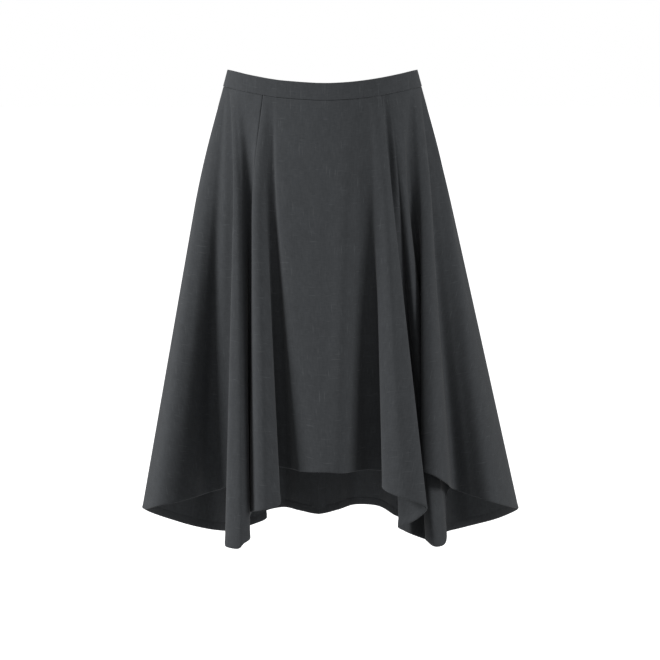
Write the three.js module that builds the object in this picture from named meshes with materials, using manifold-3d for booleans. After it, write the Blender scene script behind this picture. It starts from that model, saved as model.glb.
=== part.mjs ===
import * as THREE from 'three';
import { mergeVertices } from 'three/addons/utils/BufferGeometryUtils.js';
import Module from 'manifold-3d';

// A flared skirt in charcoal suiting with a pointed, uneven hem, standing open and hollow at the
// waist and at the hem. Sizes are in mm. +Z is up, the front faces -Y, and the origin is the middle
// of the waist opening at the height of the band's top edge at the sides.

// Waist, hip and band
const WAIST_HALF_WIDE = 125;
const WAIST_HALF_DEEP = 88;
const HIP_DROP = 135;
const HIP_HALF_WIDE = 162;
const HIP_HALF_DEEP = 112;
const FRONT_DIP = 17;
const BACK_DIP = 21;
const DIP_POWER = 2.3;
const BAND_HIGH = 22.5;

// Cloth and seams
const CLOTH_THICK = 1.4;
const BAND_THICK = 2.4;
const SEAM_GAP = 0.3;
const HIP_ROUNDING = 55;

// Mesh fineness
const SAMPLE_EVERY = 15;
const PANEL_ROWS = 17;
const BAND_ROWS = 2;
const CORNER_STEPS = 4;
const WELD = 1e-4;

// Fold lines round the skirt, from the left side seam round the front, the right side and the back.
// waist and hip are places round the oval in degrees (270 is centre front, 450 is centre back),
// out is how far the fold already stands out from the oval at the hip, and x, y, z is its end on
// the hem.
const FOLDS = [
  { fold: 'left_side', waist: 180, hip: 180, out: 0, x: -245, y: 5, z: -592 },
  { fold: 'left_side_roll', waist: 183, hip: 190, out: 1, x: -236, y: -32, z: -586 },
  { fold: 'left_side_crest', waist: 186, hip: 196, out: 2, x: -219, y: -58, z: -577 },
  { fold: 'left_side_slope', waist: 188.5, hip: 201, out: 0, x: -195, y: -60, z: -572 },
  { fold: 'left_side_fall', waist: 190.5, hip: 204.5, out: -4, x: -173, y: -48, z: -568 },
  { fold: 'left_trough', waist: 193, hip: 208, out: -9, x: -157, y: -27, z: -566 },
  { fold: 'left_rise', waist: 197, hip: 213.5, out: -8, x: -139, y: -31, z: -560 },
  { fold: 'left_tuck', waist: 200, hip: 223, out: -8, x: -119, y: -54, z: -551 },
  { fold: 'left_point_edge', waist: 202, hip: 226.4, out: 3, x: -126, y: -138, z: -612 },
  { fold: 'left_point_corner', waist: 203.6, hip: 227.1, out: 4.5, x: -122, y: -152, z: -613 },
  { fold: 'left_point_crest', waist: 206.6, hip: 228.5, out: 4, x: -107, y: -163, z: -612 },
  { fold: 'left_point_step', waist: 209, hip: 229.3, out: 1, x: -102, y: -160, z: -607 },
  { fold: 'left_point_far', waist: 211.6, hip: 230.1, out: -1.5, x: -94, y: -148, z: -603 },
  { fold: 'left_gap', waist: 216, hip: 231.8, out: -9, x: -102, y: -111, z: -597 },
  { fold: 'left_gap_far', waist: 223, hip: 234, out: -9, x: -96, y: -110, z: -580 },
  { fold: 'left_seam', waist: 234, hip: 236.3, out: 1, x: -91, y: -142, z: -568 },
  { fold: 'left_inner_crest', waist: 235.6, hip: 238.4, out: 3, x: -79, y: -159, z: -563 },
  { fold: 'left_inner_far', waist: 237.2, hip: 240.6, out: 1, x: -56, y: -149, z: -558 },
  { fold: 'left_inner_corner', waist: 238, hip: 241.8, out: -2, x: -55, y: -139, z: -552 },
  { fold: 'left_inner_tuck', waist: 239, hip: 243.6, out: -5, x: -63, y: -116, z: -515 },
  { fold: 'left_inner_trough', waist: 240.8, hip: 246, out: -7, x: -46, y: -112, z: -516 },
  { fold: 'front_left', waist: 244, hip: 249, out: 0, x: -26, y: -139, z: -516 },
  { fold: 'centre_front', waist: 270, hip: 268, out: 0, x: 0, y: -150, z: -515 },
  { fold: 'front_right', waist: 286, hip: 281.5, out: 0, x: 28, y: -142, z: -517 },
  { fold: 'right_inner_trough', waist: 294.5, hip: 287.6, out: -4, x: 61, y: -109, z: -519 },
  { fold: 'right_inner_tuck', waist: 297.4, hip: 292.8, out: -3, x: 86, y: -120, z: -521 },
  { fold: 'right_inner_edge', waist: 299, hip: 295, out: 2, x: 78, y: -150, z: -535 },
  { fold: 'right_inner_crest', waist: 301, hip: 297.8, out: 3, x: 92, y: -167, z: -541 },
  { fold: 'right_inner_slope', waist: 303.5, hip: 300.6, out: 2, x: 114, y: -171, z: -548 },
  { fold: 'right_seam', waist: 306, hip: 303, out: 0, x: 135, y: -158, z: -560 },
  { fold: 'right_turnback_front', waist: 306.8, hip: 304.6, out: -5, x: 119, y: -147, z: -579 },
  { fold: 'right_turnback', waist: 307.8, hip: 306, out: -9, x: 100, y: -131, z: -590 },
  { fold: 'right_turnback_far', waist: 309, hip: 306.9, out: -7, x: 108, y: -110, z: -600 },
  { fold: 'right_point_slope', waist: 311, hip: 307.9, out: -3, x: 121, y: -84, z: -611 },
  { fold: 'right_point_tuck', waist: 312.2, hip: 308.5, out: -2.5, x: 136, y: -73, z: -619 },
  { fold: 'right_point_edge', waist: 313.6, hip: 309.1, out: -1, x: 138, y: -95, z: -617 },
  { fold: 'right_point_crest', waist: 317, hip: 310.4, out: 0, x: 147, y: -110, z: -621 },
  { fold: 'right_point_far', waist: 323, hip: 312.3, out: -2, x: 162, y: -93, z: -620 },
  { fold: 'right_tuck_back', waist: 329.3, hip: 314.4, out: -8, x: 163, y: -68, z: -588 },
  { fold: 'right_tuck', waist: 331.2, hip: 316.8, out: -11.5, x: 166, y: -52, z: -559 },
  { fold: 'right_tuck_deep', waist: 332.4, hip: 318.6, out: -11.5, x: 171, y: -52, z: -553 },
  { fold: 'right_tuck_front', waist: 333.8, hip: 320.6, out: -8, x: 163, y: -88, z: -536 },
  { fold: 'right_flute_edge', waist: 336, hip: 322.6, out: 1, x: 129, y: -133, z: -516 },
  { fold: 'right_flute_crest', waist: 342, hip: 326.5, out: 4, x: 145, y: -141, z: -521 },
  { fold: 'right_flute_far', waist: 346.6, hip: 330.4, out: 0, x: 162, y: -124, z: -534 },
  { fold: 'right_trough', waist: 349.8, hip: 335, out: -10, x: 176, y: -68, z: -553 },
  { fold: 'right_side_slope', waist: 352.2, hip: 341, out: -5, x: 198, y: -79, z: -559 },
  { fold: 'right_side_crest', waist: 355, hip: 347.5, out: 3, x: 222, y: -88, z: -565 },
  { fold: 'right_side_roll', waist: 357, hip: 353, out: 0, x: 255, y: -42, z: -582 },
  { fold: 'right_side', waist: 360, hip: 360, out: 0, x: 266, y: 5, z: -593 },
  { fold: 'back_right_roll', waist: 364, hip: 368, out: 1, x: 260, y: 50, z: -608 },
  { fold: 'back_right_crest', waist: 370, hip: 377, out: 3, x: 239, y: 88, z: -625 },
  { fold: 'back_right_slope', waist: 376, hip: 386, out: 0, x: 209, y: 98, z: -635 },
  { fold: 'back_right_trough', waist: 383, hip: 394, out: -7, x: 184, y: 92, z: -640 },
  { fold: 'back_right_point', waist: 391, hip: 402, out: 4, x: 161, y: 131, z: -652 },
  { fold: 'back_right_point_far', waist: 399, hip: 409, out: 1, x: 129, y: 160, z: -643 },
  { fold: 'back_right_gap', waist: 408, hip: 416, out: -7, x: 105, y: 138, z: -630 },
  { fold: 'back_right_inner', waist: 418, hip: 424, out: 2, x: 80, y: 172, z: -622 },
  { fold: 'back_right_inner_far', waist: 428, hip: 432, out: 1, x: 47, y: 184, z: -622 },
  { fold: 'back_right_dip', waist: 439, hip: 441, out: 0, x: 20, y: 148, z: -623 },
  { fold: 'centre_back', waist: 450, hip: 450, out: -4, x: -6, y: 124, z: -624 },
  { fold: 'back_left_dip', waist: 461, hip: 459, out: 0, x: -32, y: 148, z: -624 },
  { fold: 'back_left_inner', waist: 472, hip: 468, out: 4, x: -58, y: 184, z: -626 },
  { fold: 'back_left_turn', waist: 481, hip: 475, out: -1, x: -84, y: 163, z: -628 },
  { fold: 'back_left_gap', waist: 488, hip: 481, out: -7, x: -82, y: 126, z: -632 },
  { fold: 'back_left_gap_far', waist: 494, hip: 487, out: -5, x: -100, y: 117, z: -638 },
  { fold: 'back_left_point', waist: 503, hip: 494, out: 4, x: -126, y: 136, z: -650 },
  { fold: 'back_left_trough', waist: 511, hip: 503, out: -6, x: -151, y: 99, z: -642 },
  { fold: 'back_left_slope', waist: 519, hip: 513, out: 0, x: -182, y: 108, z: -638 },
  { fold: 'back_left_crest', waist: 527, hip: 522, out: 3, x: -214, y: 92, z: -625 },
  { fold: 'back_left_roll', waist: 534, hip: 532, out: 1, x: -238, y: 50, z: -607 },
];

// Pieces cut and sewn: the fold lines each runs between, as the seams name them
const PANELS = [
  { node: 'front_side_left', from: 'left_side', to: 'left_seam' },
  { node: 'front_centre', from: 'left_seam', to: 'right_seam' },
  { node: 'front_side_right', from: 'right_seam', to: 'right_side' },
  { node: 'back_right', from: 'right_side', to: 'centre_back' },
  { node: 'back_left', from: 'centre_back', to: 'left_side' },
];
const BANDS = [
  { node: 'waistband_front', from: 'left_side', to: 'right_side' },
  { node: 'waistband_back_right', from: 'right_side', to: 'centre_back' },
  { node: 'waistband_back_left', from: 'centre_back', to: 'left_side' },
];

// Closed zip at the centre back: slider and the tab that swings on it
const ZIP_DROP = 10.5;
const SLIDER_WIDE = 5.6;
const SLIDER_HIGH = 9;
const SLIDER_THICK = 2;
const SLIDER_CORNER = 1.2;
const SLIDER_BEVEL = 0.4;
const BEVEL_SEGMENTS = 2;
const SLIDER_NOSE_SHARE = 0.7;
const BRIDGE_WIDE = 1.6;
const BRIDGE_HIGH = 6.8;
const BRIDGE_RISE = 2.7;
const BRIDGE_BAR = 0.9;
const BRIDGE_FOOT = 1;
const BRIDGE_CORNER = 0.8;
const BRIDGE_SUNK = 0.5;
const TAB_THICK = 1;
const TAB_BAR = 1;
const TAB_SLOT_WIDE = 2.6;
const TAB_SLOT_LONG = 2.7;
const TAB_TOP_WIDE = 4.6;
const TAB_LOW_WIDE = 5.8;
const TAB_LONG = 19;
const TAB_CORNER = 1.2;
const PIVOT_BELOW = 1.4;

const MATERIALS = {
  suiting: { color: 0x3f4042, roughness: 0.92, metalness: 0 },
  zip_metal: { color: 0x2f3032, roughness: 0.45, metalness: 0.6 },
};

// Where the band's top edge runs: level at the sides, dipping at the front and the back
function topHeight(degrees) {
  const s = Math.sin(THREE.MathUtils.degToRad(degrees));
  const dip = s < 0 ? FRONT_DIP : BACK_DIP;
  return -dip * Math.abs(s) ** DIP_POWER;
}

// A point on the body's oval at a drop below the top edge; it widens evenly down to the hip
function ovalPoint(degrees, drop) {
  const a = THREE.MathUtils.degToRad(degrees);
  const share = drop / HIP_DROP;
  const wide = WAIST_HALF_WIDE + (HIP_HALF_WIDE - WAIST_HALF_WIDE) * share;
  const deep = WAIST_HALF_DEEP + (HIP_HALF_DEEP - WAIST_HALF_DEEP) * share;
  return new THREE.Vector2(wide * Math.cos(a), deep * Math.sin(a));
}

// Rises from 0 to a straight line of slope 1, rounded over the given half length
function softRamp(x, half) {
  if (x <= -half) return 0;
  if (x >= half) return x;
  return (x + half) ** 2 / (4 * half);
}

// A point on one fold line: along the oval in the band, then straight to its place at the hip and
// straight again to its end on the hem
function foldPoint(row, drop) {
  const top = topHeight(row.waist);
  if (drop <= BAND_HIGH + SEAM_GAP) {
    const p = ovalPoint(row.waist, drop);
    return new THREE.Vector3(p.x, p.y, top - drop);
  }
  const start = ovalPoint(row.waist, BAND_HIGH + SEAM_GAP);
  const hip = ovalPoint(row.hip, HIP_DROP);
  hip.add(hip.clone().normalize().multiplyScalar(row.out));
  const hem = new THREE.Vector2(row.x, row.y);
  const long = top - row.z;
  const first = HIP_DROP - BAND_HIGH - SEAM_GAP;
  const upper = hip.clone().sub(start).divideScalar(first);
  const lower = hem.clone().sub(hip).divideScalar(long - HIP_DROP);
  const bend = softRamp(drop - HIP_DROP, HIP_ROUNDING);
  const p = start.clone().addScaledVector(upper, drop - BAND_HIGH - SEAM_GAP);
  p.addScaledVector(lower.sub(upper), bend);
  return new THREE.Vector3(p.x, p.y, top - drop);
}

// Smooth closed curve through the fold points of one level
function between(points, i, share) {
  const n = points.length;
  const p0 = points[(i + n - 1) % n];
  const p1 = points[i];
  const p2 = points[(i + 1) % n];
  const p3 = points[(i + 2) % n];
  const t1 = Math.sqrt(p0.distanceTo(p1));
  const t2 = t1 + Math.sqrt(p1.distanceTo(p2));
  const t3 = t2 + Math.sqrt(p2.distanceTo(p3));
  const t = t1 + (t2 - t1) * share;
  const mix = (a, b, ta, tb) => a.clone().lerp(b, (t - ta) / (tb - ta));
  const a1 = mix(p0, p1, 0, t1);
  const a2 = mix(p1, p2, t1, t2);
  const a3 = mix(p2, p3, t2, t3);
  const b1 = mix(a1, a2, 0, t2);
  const b2 = mix(a2, a3, t1, t3);
  return mix(b1, b2, t1, t2);
}

// How many samples each stretch between two fold lines gets, from its length on the hem
const HEM_POINTS = FOLDS.map((row) => new THREE.Vector3(row.x, row.y, row.z));
const STRETCHES = HEM_POINTS.map((p, i) => {
  const long = p.distanceTo(HEM_POINTS[(i + 1) % HEM_POINTS.length]);
  return Math.max(2, Math.round(long / SAMPLE_EVERY));
});
const STARTS = {};
let samples = 0;
FOLDS.forEach((row, i) => {
  STARTS[row.fold] = samples;
  samples += STRETCHES[i];
});
const AROUND = samples;

// One closed ring of the cloth's middle surface
function ring(dropOf) {
  const points = FOLDS.map((row) => foldPoint(row, dropOf(row)));
  const line = [];
  FOLDS.forEach((row, i) => {
    for (let k = 0; k < STRETCHES[i]; k += 1) {
      line.push(between(points, i, k / STRETCHES[i]));
    }
  });
  return line;
}

function panelRings() {
  const rings = [];
  for (let r = 0; r <= PANEL_ROWS; r += 1) {
    const share = r / PANEL_ROWS;
    rings.push(ring((row) => {
      const from = BAND_HIGH + SEAM_GAP;
      const to = topHeight(row.waist) - row.z;
      return from + (to - from) * share;
    }));
  }
  return rings;
}

function bandRings() {
  const rings = [];
  for (let r = 0; r <= BAND_ROWS; r += 1) {
    rings.push(ring(() => (BAND_HIGH * r) / BAND_ROWS));
  }
  return rings;
}

// Outward direction of the cloth at each sample, from its neighbours on the middle surface
function normals(rings) {
  return rings.map((line, r) => line.map((_, s) => {
    const along = line[(s + 1) % AROUND].clone().sub(line[(s + AROUND - 1) % AROUND]);
    const up = rings[Math.max(r - 1, 0)][s];
    const down = rings[Math.min(r + 1, rings.length - 1)][s];
    return down.clone().sub(up).cross(along).normalize();
  }));
}

// A closed wall of even thickness over the samples between two seams
function wall(rings, outward, from, to, thick) {
  const first = STARTS[from];
  const last = STARTS[to] > first ? STARTS[to] : STARTS[to] + AROUND;
  const wide = last - first + 1;
  const rows = rings.length;
  const position = [];
  for (const side of [1, -1]) {
    for (let r = 0; r < rows; r += 1) {
      for (let k = 0; k < wide; k += 1) {
        const s = (first + k) % AROUND;
        const p = rings[r][s].clone();
        const along = rings[r][(s + 1) % AROUND].clone().sub(rings[r][(s + AROUND - 1) % AROUND]);
        if (k === 0) p.addScaledVector(along.normalize(), SEAM_GAP / 2);
        if (k === wide - 1) p.addScaledVector(along.normalize(), -SEAM_GAP / 2);
        p.addScaledVector(outward[r][s], (side * thick) / 2);
        position.push(p.x, p.y, p.z);
      }
    }
  }
  const index = [];
  const at = (side, r, k) => side * rows * wide + r * wide + k;
  const quad = (a, b, c, d) => index.push(a, b, c, a, c, d);
  for (let r = 0; r < rows - 1; r += 1) {
    for (let k = 0; k < wide - 1; k += 1) {
      quad(at(0, r, k), at(0, r + 1, k), at(0, r + 1, k + 1), at(0, r, k + 1));
      quad(at(1, r, k), at(1, r, k + 1), at(1, r + 1, k + 1), at(1, r + 1, k));
    }
    quad(at(0, r, 0), at(1, r, 0), at(1, r + 1, 0), at(0, r + 1, 0));
    const e = wide - 1;
    quad(at(0, r, e), at(0, r + 1, e), at(1, r + 1, e), at(1, r, e));
  }
  const low = rows - 1;
  for (let k = 0; k < wide - 1; k += 1) {
    quad(at(0, 0, k), at(0, 0, k + 1), at(1, 0, k + 1), at(1, 0, k));
    quad(at(0, low, k), at(1, low, k), at(1, low, k + 1), at(0, low, k + 1));
  }
  const geometry = new THREE.BufferGeometry();
  geometry.setAttribute('position', new THREE.Float32BufferAttribute(position, 3));
  geometry.setIndex(index);
  return geometry;
}

function meshOf(geometry, name, slot) {
  const material = new THREE.MeshStandardMaterial(MATERIALS[slot]);
  material.name = slot;
  geometry.computeVertexNormals();
  const mesh = new THREE.Mesh(geometry, material);
  mesh.name = name;
  return mesh;
}

// Joins closed shapes of the slider into one body
const wasm = await Module();
wasm.setup();
function solidOf(geometry) {
  const bare = new THREE.BufferGeometry();
  bare.setAttribute('position', geometry.getAttribute('position'));
  if (geometry.index) bare.setIndex(geometry.index);
  const merged = mergeVertices(bare, WELD);
  return new wasm.Manifold(new wasm.Mesh({
    numProp: 3,
    vertProperties: new Float32Array(merged.getAttribute('position').array),
    triVerts: new Uint32Array(merged.index.array),
  }));
}
function geometryOf(solid) {
  const mesh = solid.getMesh();
  const geometry = new THREE.BufferGeometry();
  geometry.setAttribute('position', new THREE.BufferAttribute(new Float32Array(mesh.vertProperties), 3));
  geometry.setIndex(new THREE.BufferAttribute(new Uint32Array(mesh.triVerts), 1));
  return geometry;
}

// Shapes of the zip are drawn in the XZ plane and thickened along +Y, away from the cloth
function plate(shape, thick, bevel) {
  const options = { depth: thick - 2 * bevel, bevelEnabled: bevel > 0, curveSegments: CORNER_STEPS };
  options.bevelThickness = bevel;
  options.bevelSize = bevel;
  options.bevelOffset = -bevel;
  options.bevelSegments = BEVEL_SEGMENTS;
  const geometry = new THREE.ExtrudeGeometry(shape, options);
  geometry.translate(0, 0, bevel);
  geometry.rotateX(Math.PI / 2);
  geometry.scale(1, -1, 1);
  const index = [];
  const count = geometry.getAttribute('position').count;
  for (let i = 0; i < count; i += 3) index.push(i, i + 2, i + 1);
  geometry.setIndex(index);
  return geometry;
}

function roundedShape(wideTop, wideLow, top, low, corner) {
  const shape = new THREE.Shape();
  shape.moveTo(-wideTop / 2 + corner, top);
  shape.lineTo(wideTop / 2 - corner, top);
  shape.quadraticCurveTo(wideTop / 2, top, wideTop / 2, top - corner);
  shape.lineTo(wideLow / 2, low + corner);
  shape.quadraticCurveTo(wideLow / 2, low, wideLow / 2 - corner, low);
  shape.lineTo(-wideLow / 2 + corner, low);
  shape.quadraticCurveTo(-wideLow / 2, low, -wideLow / 2, low + corner);
  shape.lineTo(-wideTop / 2, top - corner);
  shape.quadraticCurveTo(-wideTop / 2, top, -wideTop / 2 + corner, top);
  return shape;
}

function sliderGeometry() {
  const body = plate(
    roundedShape(
      SLIDER_WIDE, SLIDER_WIDE * SLIDER_NOSE_SHARE, SLIDER_HIGH / 2, -SLIDER_HIGH / 2, SLIDER_CORNER,
    ),
    SLIDER_THICK, SLIDER_BEVEL,
  );
  const arch = new THREE.Shape();
  const half = BRIDGE_HIGH / 2;
  const inner = half - BRIDGE_FOOT;
  arch.moveTo(-half, -BRIDGE_SUNK);
  arch.lineTo(-half, BRIDGE_RISE - BRIDGE_CORNER);
  arch.quadraticCurveTo(-half, BRIDGE_RISE, -half + BRIDGE_CORNER, BRIDGE_RISE);
  arch.lineTo(half - BRIDGE_CORNER, BRIDGE_RISE);
  arch.quadraticCurveTo(half, BRIDGE_RISE, half, BRIDGE_RISE - BRIDGE_CORNER);
  arch.lineTo(half, -BRIDGE_SUNK);
  arch.lineTo(inner, -BRIDGE_SUNK);
  arch.lineTo(inner, BRIDGE_RISE - BRIDGE_BAR);
  arch.lineTo(-inner, BRIDGE_RISE - BRIDGE_BAR);
  arch.lineTo(-inner, -BRIDGE_SUNK);
  const options = { depth: BRIDGE_WIDE, bevelEnabled: false, curveSegments: CORNER_STEPS };
  const bridge = new THREE.ExtrudeGeometry(arch, options);
  bridge.translate(0, 0, -BRIDGE_WIDE / 2);
  // shape x becomes height, shape y becomes the rise from the slider's face
  bridge.applyMatrix4(new THREE.Matrix4().makeBasis(
    new THREE.Vector3(0, 0, 1), new THREE.Vector3(0, 1, 0), new THREE.Vector3(-1, 0, 0),
  ));
  bridge.translate(0, SLIDER_THICK, 0);
  return geometryOf(solidOf(body).add(solidOf(bridge)));
}

function tabGeometry() {
  const shape = roundedShape(TAB_TOP_WIDE, TAB_LOW_WIDE, TAB_BAR / 2, -TAB_LONG, TAB_CORNER);
  const slot = new THREE.Path();
  const half = TAB_SLOT_WIDE / 2;
  slot.moveTo(-half, -TAB_BAR / 2);
  slot.lineTo(-half, -TAB_BAR / 2 - TAB_SLOT_LONG);
  slot.lineTo(half, -TAB_BAR / 2 - TAB_SLOT_LONG);
  slot.lineTo(half, -TAB_BAR / 2);
  shape.holes.push(slot);
  const tab = plate(shape, TAB_THICK, 0);
  tab.translate(0, SLIDER_THICK + (BRIDGE_RISE - BRIDGE_BAR) / 2 - TAB_THICK / 2, -PIVOT_BELOW);
  return tab;
}

// The slider's own frame sits on the band's outer face at the centre back, leaning with the cloth
function zipPlace() {
  const lean = Math.atan((HIP_HALF_DEEP - WAIST_HALF_DEEP) / HIP_DROP);
  const on = ovalPoint(450, ZIP_DROP);
  const out = BAND_THICK / 2 + SEAM_GAP;
  const place = new THREE.Matrix4().makeRotationX(lean);
  place.setPosition(0, on.y + out * Math.cos(lean), topHeight(450) - ZIP_DROP + out * Math.sin(lean));
  return place;
}

const group = new THREE.Group();
group.name = 'asymmetric_skirt';

const skirt = panelRings();
const skirtOut = normals(skirt);
for (const piece of PANELS) {
  group.add(meshOf(wall(skirt, skirtOut, piece.from, piece.to, CLOTH_THICK), piece.node, 'suiting'));
}
const band = bandRings();
const bandOut = normals(band);
for (const piece of BANDS) {
  group.add(meshOf(wall(band, bandOut, piece.from, piece.to, BAND_THICK), piece.node, 'suiting'));
}
const place = zipPlace();
for (const [name, geometry] of [['zip_slider', sliderGeometry()], ['zip_pull', tabGeometry()]]) {
  const bare = new THREE.BufferGeometry();
  bare.setAttribute('position', geometry.getAttribute('position'));
  bare.setIndex(geometry.index);
  const merged = mergeVertices(bare, WELD);
  merged.applyMatrix4(place);
  group.add(meshOf(merged, name, 'zip_metal'));
}

export default group;
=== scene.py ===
import math
from collections import namedtuple

import bmesh
import bpy
import numpy as np
from bpy.props import FloatProperty, FloatVectorProperty, IntProperty, PointerProperty
from mathutils import Matrix, Vector


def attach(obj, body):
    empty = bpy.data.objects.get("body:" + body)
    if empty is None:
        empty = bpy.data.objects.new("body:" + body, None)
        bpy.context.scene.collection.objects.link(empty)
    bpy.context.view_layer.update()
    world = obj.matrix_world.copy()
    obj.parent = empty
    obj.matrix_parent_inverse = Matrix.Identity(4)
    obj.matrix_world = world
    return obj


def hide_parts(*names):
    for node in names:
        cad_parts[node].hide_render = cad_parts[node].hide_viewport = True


bl_info = {
    "name": "Asymmetric Skirt",
    "version": (1, 0, 0),
    "blender": (4, 5, 0),
    "location": "View3D > Sidebar > Skirt",
    "description": "Dresses a flared suiting skirt with a pointed, uneven hem",
    "category": "Object",
}

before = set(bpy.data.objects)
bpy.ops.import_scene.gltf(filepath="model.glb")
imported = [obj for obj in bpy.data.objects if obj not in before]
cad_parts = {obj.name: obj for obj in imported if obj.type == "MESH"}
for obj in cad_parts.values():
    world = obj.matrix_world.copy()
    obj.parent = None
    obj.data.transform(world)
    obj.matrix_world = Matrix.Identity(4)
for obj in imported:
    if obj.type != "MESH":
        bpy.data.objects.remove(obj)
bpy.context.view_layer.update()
MM = 0.001

# Sizes of the cut, in mm, as the solids have them
WAIST_HALF_WIDE = 125
WAIST_HALF_DEEP = 88
HIP_DROP = 135
HIP_HALF_WIDE = 162
HIP_HALF_DEEP = 112
FRONT_DIP = 17
BACK_DIP = 21
DIP_POWER = 2.3
BAND_HIGH = 22.5
SEAM_GAP = 0.3
HIP_ROUNDING = 55

# Fold lines from the left side seam round the front, the right side and the back: places round the
# oval at the waist and the hip in degrees, how far the fold stands out at the hip, and its hem end
Fold = namedtuple("Fold", "name waist hip out x y z")
FOLDS = [
    Fold("left_side", 180, 180, 0, -245, 5, -592),
    Fold("left_side_roll", 183, 190, 1, -236, -32, -586),
    Fold("left_side_crest", 186, 196, 2, -219, -58, -577),
    Fold("left_side_slope", 188.5, 201, 0, -195, -60, -572),
    Fold("left_side_fall", 190.5, 204.5, -4, -173, -48, -568),
    Fold("left_trough", 193, 208, -9, -157, -27, -566),
    Fold("left_rise", 197, 213.5, -8, -139, -31, -560),
    Fold("left_tuck", 200, 223, -8, -119, -54, -551),
    Fold("left_point_edge", 202, 226.4, 3, -126, -138, -612),
    Fold("left_point_corner", 203.6, 227.1, 4.5, -122, -152, -613),
    Fold("left_point_crest", 206.6, 228.5, 4, -107, -163, -612),
    Fold("left_point_step", 209, 229.3, 1, -102, -160, -607),
    Fold("left_point_far", 211.6, 230.1, -1.5, -94, -148, -603),
    Fold("left_gap", 216, 231.8, -9, -102, -111, -597),
    Fold("left_gap_far", 223, 234, -9, -96, -110, -580),
    Fold("left_seam", 234, 236.3, 1, -91, -142, -568),
    Fold("left_inner_crest", 235.6, 238.4, 3, -79, -159, -563),
    Fold("left_inner_far", 237.2, 240.6, 1, -56, -149, -558),
    Fold("left_inner_corner", 238, 241.8, -2, -55, -139, -552),
    Fold("left_inner_tuck", 239, 243.6, -5, -63, -116, -515),
    Fold("left_inner_trough", 240.8, 246, -7, -46, -112, -516),
    Fold("front_left", 244, 249, 0, -26, -139, -516),
    Fold("centre_front", 270, 268, 0, 0, -150, -515),
    Fold("front_right", 286, 281.5, 0, 28, -142, -517),
    Fold("right_inner_trough", 294.5, 287.6, -4, 61, -109, -519),
    Fold("right_inner_tuck", 297.4, 292.8, -3, 86, -120, -521),
    Fold("right_inner_edge", 299, 295, 2, 78, -150, -535),
    Fold("right_inner_crest", 301, 297.8, 3, 92, -167, -541),
    Fold("right_inner_slope", 303.5, 300.6, 2, 114, -171, -548),
    Fold("right_seam", 306, 303, 0, 135, -158, -560),
    Fold("right_turnback_front", 306.8, 304.6, -5, 119, -147, -579),
    Fold("right_turnback", 307.8, 306, -9, 100, -131, -590),
    Fold("right_turnback_far", 309, 306.9, -7, 108, -110, -600),
    Fold("right_point_slope", 311, 307.9, -3, 121, -84, -611),
    Fold("right_point_tuck", 312.2, 308.5, -2.5, 136, -73, -619),
    Fold("right_point_edge", 313.6, 309.1, -1, 138, -95, -617),
    Fold("right_point_crest", 317, 310.4, 0, 147, -110, -621),
    Fold("right_point_far", 323, 312.3, -2, 162, -93, -620),
    Fold("right_tuck_back", 329.3, 314.4, -8, 163, -68, -588),
    Fold("right_tuck", 331.2, 316.8, -11.5, 166, -52, -559),
    Fold("right_tuck_deep", 332.4, 318.6, -11.5, 171, -52, -553),
    Fold("right_tuck_front", 333.8, 320.6, -8, 163, -88, -536),
    Fold("right_flute_edge", 336, 322.6, 1, 129, -133, -516),
    Fold("right_flute_crest", 342, 326.5, 4, 145, -141, -521),
    Fold("right_flute_far", 346.6, 330.4, 0, 162, -124, -534),
    Fold("right_trough", 349.8, 335, -10, 176, -68, -553),
    Fold("right_side_slope", 352.2, 341, -5, 198, -79, -559),
    Fold("right_side_crest", 355, 347.5, 3, 222, -88, -565),
    Fold("right_side_roll", 357, 353, 0, 255, -42, -582),
    Fold("right_side", 360, 360, 0, 266, 5, -593),
    Fold("back_right_roll", 364, 368, 1, 260, 50, -608),
    Fold("back_right_crest", 370, 377, 3, 239, 88, -625),
    Fold("back_right_slope", 376, 386, 0, 209, 98, -635),
    Fold("back_right_trough", 383, 394, -7, 184, 92, -640),
    Fold("back_right_point", 391, 402, 4, 161, 131, -652),
    Fold("back_right_point_far", 399, 409, 1, 129, 160, -643),
    Fold("back_right_gap", 408, 416, -7, 105, 138, -630),
    Fold("back_right_inner", 418, 424, 2, 80, 172, -622),
    Fold("back_right_inner_far", 428, 432, 1, 47, 184, -622),
    Fold("back_right_dip", 439, 441, 0, 20, 148, -623),
    Fold("centre_back", 450, 450, -4, -6, 124, -624),
    Fold("back_left_dip", 461, 459, 0, -32, 148, -624),
    Fold("back_left_inner", 472, 468, 4, -58, 184, -626),
    Fold("back_left_turn", 481, 475, -1, -84, 163, -628),
    Fold("back_left_gap", 488, 481, -7, -82, 126, -632),
    Fold("back_left_gap_far", 494, 487, -5, -100, 117, -638),
    Fold("back_left_point", 503, 494, 4, -126, 136, -650),
    Fold("back_left_trough", 511, 503, -6, -151, 99, -642),
    Fold("back_left_slope", 519, 513, 0, -182, 108, -638),
    Fold("back_left_crest", 527, 522, 3, -214, 92, -625),
    Fold("back_left_roll", 534, 532, 1, -238, 50, -607),
]
PLACE = {fold.name: i for i, fold in enumerate(FOLDS)}
WAIST = np.array([fold.waist for fold in FOLDS], float)
HIP = np.array([fold.hip for fold in FOLDS], float)
OUT = np.array([fold.out for fold in FOLDS], float)
HEM = np.array([(fold.x, fold.y, fold.z) for fold in FOLDS], float)

# The panels and bands, each between two seams
Piece = namedtuple("Piece", "node first last")
PANELS = [
    Piece("front_side_left", "left_side", "left_seam"),
    Piece("front_centre", "left_seam", "right_seam"),
    Piece("front_side_right", "right_seam", "right_side"),
    Piece("back_right", "right_side", "centre_back"),
    Piece("back_left", "centre_back", "left_side"),
]
BANDS = [
    Piece("waistband_front", "left_side", "right_side"),
    Piece("waistband_back_right", "right_side", "centre_back"),
    Piece("waistband_back_left", "centre_back", "left_side"),
]

# The fold lines that are seams between panels
SEAMS = ("left_side", "left_seam", "right_seam", "right_side", "centre_back")

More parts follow.
